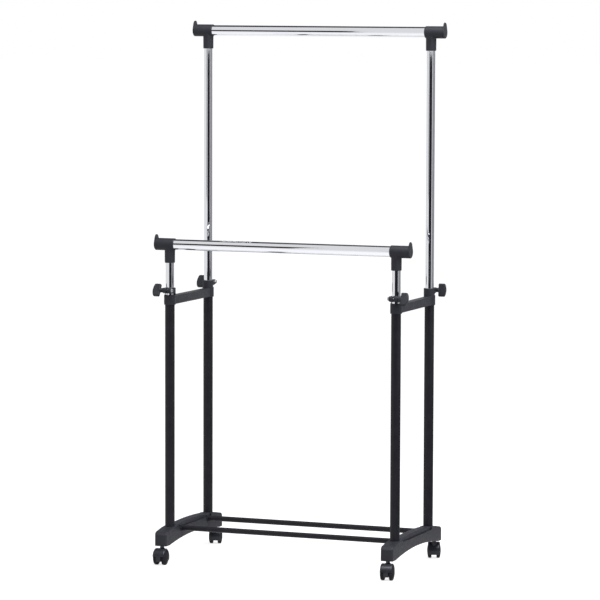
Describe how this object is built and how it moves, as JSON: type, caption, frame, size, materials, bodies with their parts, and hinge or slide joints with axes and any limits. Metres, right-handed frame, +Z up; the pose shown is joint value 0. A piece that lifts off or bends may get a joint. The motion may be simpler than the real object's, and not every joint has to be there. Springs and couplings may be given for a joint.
{
  "type": "rolling clothes rack",
  "caption": "Double-rail rolling clothes rack: two telescoping chrome hangers in black posts, locked by wing knobs, on moulded feet with twin-wheel casters.",
  "frame": {"origin": "on the floor, under the middle of the rack", "axes": "+Z up, +X to the rack's right along the rails, -Y to the front, where the lower rail is"},
  "size_m": [0.798, 0.4841, 1.595],
  "materials": {
    "chrome_plate": "bright chrome plate on steel tube",
    "black_paint": "satin black powder coat",
    "moulded_black": "satin moulded plastic",
    "knob_plastic": "satin moulded plastic",
    "hood_plastic": "semi-gloss moulded plastic",
    "wheel_plastic": "semi-gloss hard plastic with scuffed tread",
    "natural_plastic": "natural moulded plastic",
    "zinc_steel": "zinc plated",
    "stem_steel": "blackened steel"
  },
  "bodies": {
    "root": {"bracket_left": "moulded_black", "bracket_right": "moulded_black", "clamp_bolts": "zinc_steel", "foot_left": "moulded_black", "foot_right": "moulded_black", "post_front_left": "black_paint", "post_front_right": "black_paint", "post_plug_front_left": "natural_plastic", "post_plug_front_right": "natural_plastic", "post_plug_rear_left": "natural_plastic", "post_plug_rear_right": "natural_plastic", "post_rear_left": "black_paint", "post_rear_right": "black_paint", "post_screws": "zinc_steel", "spreader_front": "black_paint", "spreader_rear": "black_paint", "spreader_screws": "zinc_steel"},
    "upper_hanger": {"end_cap_rear_left": "moulded_black", "end_cap_rear_right": "moulded_black", "guide_bush_rear_left": "natural_plastic", "guide_bush_rear_right": "natural_plastic", "slide_tube_rear_left": "chrome_plate", "slide_tube_rear_right": "chrome_plate", "t_connector_rear_left": "moulded_black", "t_connector_rear_right": "moulded_black", "upper_rail": "chrome_plate"},
    "lower_hanger": {"end_cap_front_left": "moulded_black", "end_cap_front_right": "moulded_black", "guide_bush_front_left": "natural_plastic", "guide_bush_front_right": "natural_plastic", "lower_rail": "chrome_plate", "slide_tube_front_left": "chrome_plate", "slide_tube_front_right": "chrome_plate", "t_connector_front_left": "moulded_black", "t_connector_front_right": "moulded_black"},
    "caster_front_left": {"caster_front_left_axle": "stem_steel", "caster_front_left_hood": "hood_plastic", "caster_front_left_stem": "stem_steel"},
    "caster_front_left_wheel_inner_body": {"caster_front_left_wheel_inner": "wheel_plastic"},
    "caster_front_left_wheel_outer_body": {"caster_front_left_wheel_outer": "wheel_plastic"},
    "caster_front_right": {"caster_front_right_axle": "stem_steel", "caster_front_right_hood": "hood_plastic", "caster_front_right_stem": "stem_steel"},
    "caster_front_right_wheel_inner_body": {"caster_front_right_wheel_inner": "wheel_plastic"},
    "caster_front_right_wheel_outer_body": {"caster_front_right_wheel_outer": "wheel_plastic"},
    "caster_rear_left": {"caster_rear_left_axle": "stem_steel", "caster_rear_left_hood": "hood_plastic", "caster_rear_left_stem": "stem_steel"},
    "caster_rear_left_wheel_inner_body": {"caster_rear_left_wheel_inner": "wheel_plastic"},
    "caster_rear_left_wheel_outer_body": {"caster_rear_left_wheel_outer": "wheel_plastic"},
    "caster_rear_right": {"caster_rear_right_axle": "stem_steel", "caster_rear_right_hood": "hood_plastic", "caster_rear_right_stem": "stem_steel"},
    "caster_rear_right_wheel_inner_body": {"caster_rear_right_wheel_inner": "wheel_plastic"},
    "caster_rear_right_wheel_outer_body": {"caster_rear_right_wheel_outer": "wheel_plastic"},
    "wing_knob_front_left_body": {"wing_knob_front_left": "knob_plastic"},
    "wing_knob_front_right_body": {"wing_knob_front_right": "knob_plastic"},
    "wing_knob_rear_left_body": {"wing_knob_rear_left": "knob_plastic"},
    "wing_knob_rear_right_body": {"wing_knob_rear_right": "knob_plastic"}
  },
  "joints": [
    {"name": "upper_hanger_slide", "type": "slide", "parent": "root", "child": "upper_hanger", "axis": [0, 0, 1], "range_m": [-0.677, 0]},
    {"name": "lower_hanger_slide", "type": "slide", "parent": "root", "child": "lower_hanger", "axis": [0, 0, 1], "range_m": [-0.053, 0.624]},
    {"name": "wing_knob_front_left_turn", "type": "hinge", "parent": "root", "child": "wing_knob_front_left_body", "pos_m": [-0.3829, -0.166, 0.8075], "axis": [-1, 0, 0], "range_deg": [0, 720]},
    {"name": "wing_knob_front_right_turn", "type": "hinge", "parent": "root", "child": "wing_knob_front_right_body", "pos_m": [0.3829, -0.166, 0.8075], "axis": [1, 0, 0], "range_deg": [0, 720]},
    {"name": "wing_knob_rear_left_turn", "type": "hinge", "parent": "root", "child": "wing_knob_rear_left_body", "pos_m": [-0.3829, 0.166, 0.8075], "axis": [-1, 0, 0], "range_deg": [0, 720]},
    {"name": "wing_knob_rear_right_turn", "type": "hinge", "parent": "root", "child": "wing_knob_rear_right_body", "pos_m": [0.3829, 0.166, 0.8075], "axis": [1, 0, 0], "range_deg": [0, 720]},
    {"name": "caster_front_left_swivel", "type": "hinge", "parent": "root", "child": "caster_front_left", "pos_m": [-0.354, -0.202, 0.05], "axis": [0, 0, 1], "continuous": true},
    {"name": "caster_front_left_inner_roll", "type": "hinge", "parent": "caster_front_left", "child": "caster_front_left_wheel_inner_body", "pos_m": [-0.35316, -0.21397, 0.0225], "axis": [-0.9976, -0.0698, 0], "continuous": true},
    {"name": "caster_front_left_outer_roll", "type": "hinge", "parent": "caster_front_left", "child": "caster_front_left_wheel_outer_body", "pos_m": [-0.35316, -0.21397, 0.0225], "axis": [-0.9976, -0.0698, 0], "continuous": true},
    {"name": "caster_front_right_swivel", "type": "hinge", "parent": "root", "child": "caster_front_right", "pos_m": [0.354, -0.202, 0.05], "axis": [0, 0, 1], "continuous": true},
    {"name": "caster_front_right_inner_roll", "type": "hinge", "parent": "caster_front_right", "child": "caster_front_right_wheel_inner_body", "pos_m": [0.35608, -0.21382, 0.0225], "axis": [-0.9848, -0.1736, 0], "continuous": true},
    {"name": "caster_front_right_outer_roll", "type": "hinge", "parent": "caster_front_right", "child": "caster_front_right_wheel_outer_body", "pos_m": [0.35608, -0.21382, 0.0225], "axis": [-0.9848, -0.1736, 0], "continuous": true},
    {"name": "caster_rear_left_swivel", "type": "hinge", "parent": "root", "child": "caster_rear_left", "pos_m": [-0.354, 0.202, 0.05], "axis": [0, 0, 1], "continuous": true},
    {"name": "caster_rear_left_inner_roll", "type": "hinge", "parent": "caster_rear_left", "child": "caster_rear_left_wheel_inner_body", "pos_m": [-0.35731, 0.21354, 0.0225], "axis": [0.9613, 0.2756, 0], "continuous": true},
    {"name": "caster_rear_left_outer_roll", "type": "hinge", "parent": "caster_rear_left", "child": "caster_rear_left_wheel_outer_body", "pos_m": [-0.35731, 0.21354, 0.0225], "axis": [0.9613, 0.2756, 0], "continuous": true},
    {"name": "caster_rear_right_swivel", "type": "hinge", "parent": "root", "child": "caster_rear_right", "pos_m": [0.354, 0.202, 0.05], "axis": [0, 0, 1], "continuous": true},
    {"name": "caster_rear_right_inner_roll", "type": "hinge", "parent": "caster_rear_right", "child": "caster_rear_right_wheel_inner_body", "pos_m": [0.3497, 0.2132, 0.0225], "axis": [0.9336, 0.3584, 0], "continuous": true},
    {"name": "caster_rear_right_outer_roll", "type": "hinge", "parent": "caster_rear_right", "child": "caster_rear_right_wheel_outer_body", "pos_m": [0.3497, 0.2132, 0.0225], "axis": [0.9336, 0.3584, 0], "continuous": true}
  ]
}
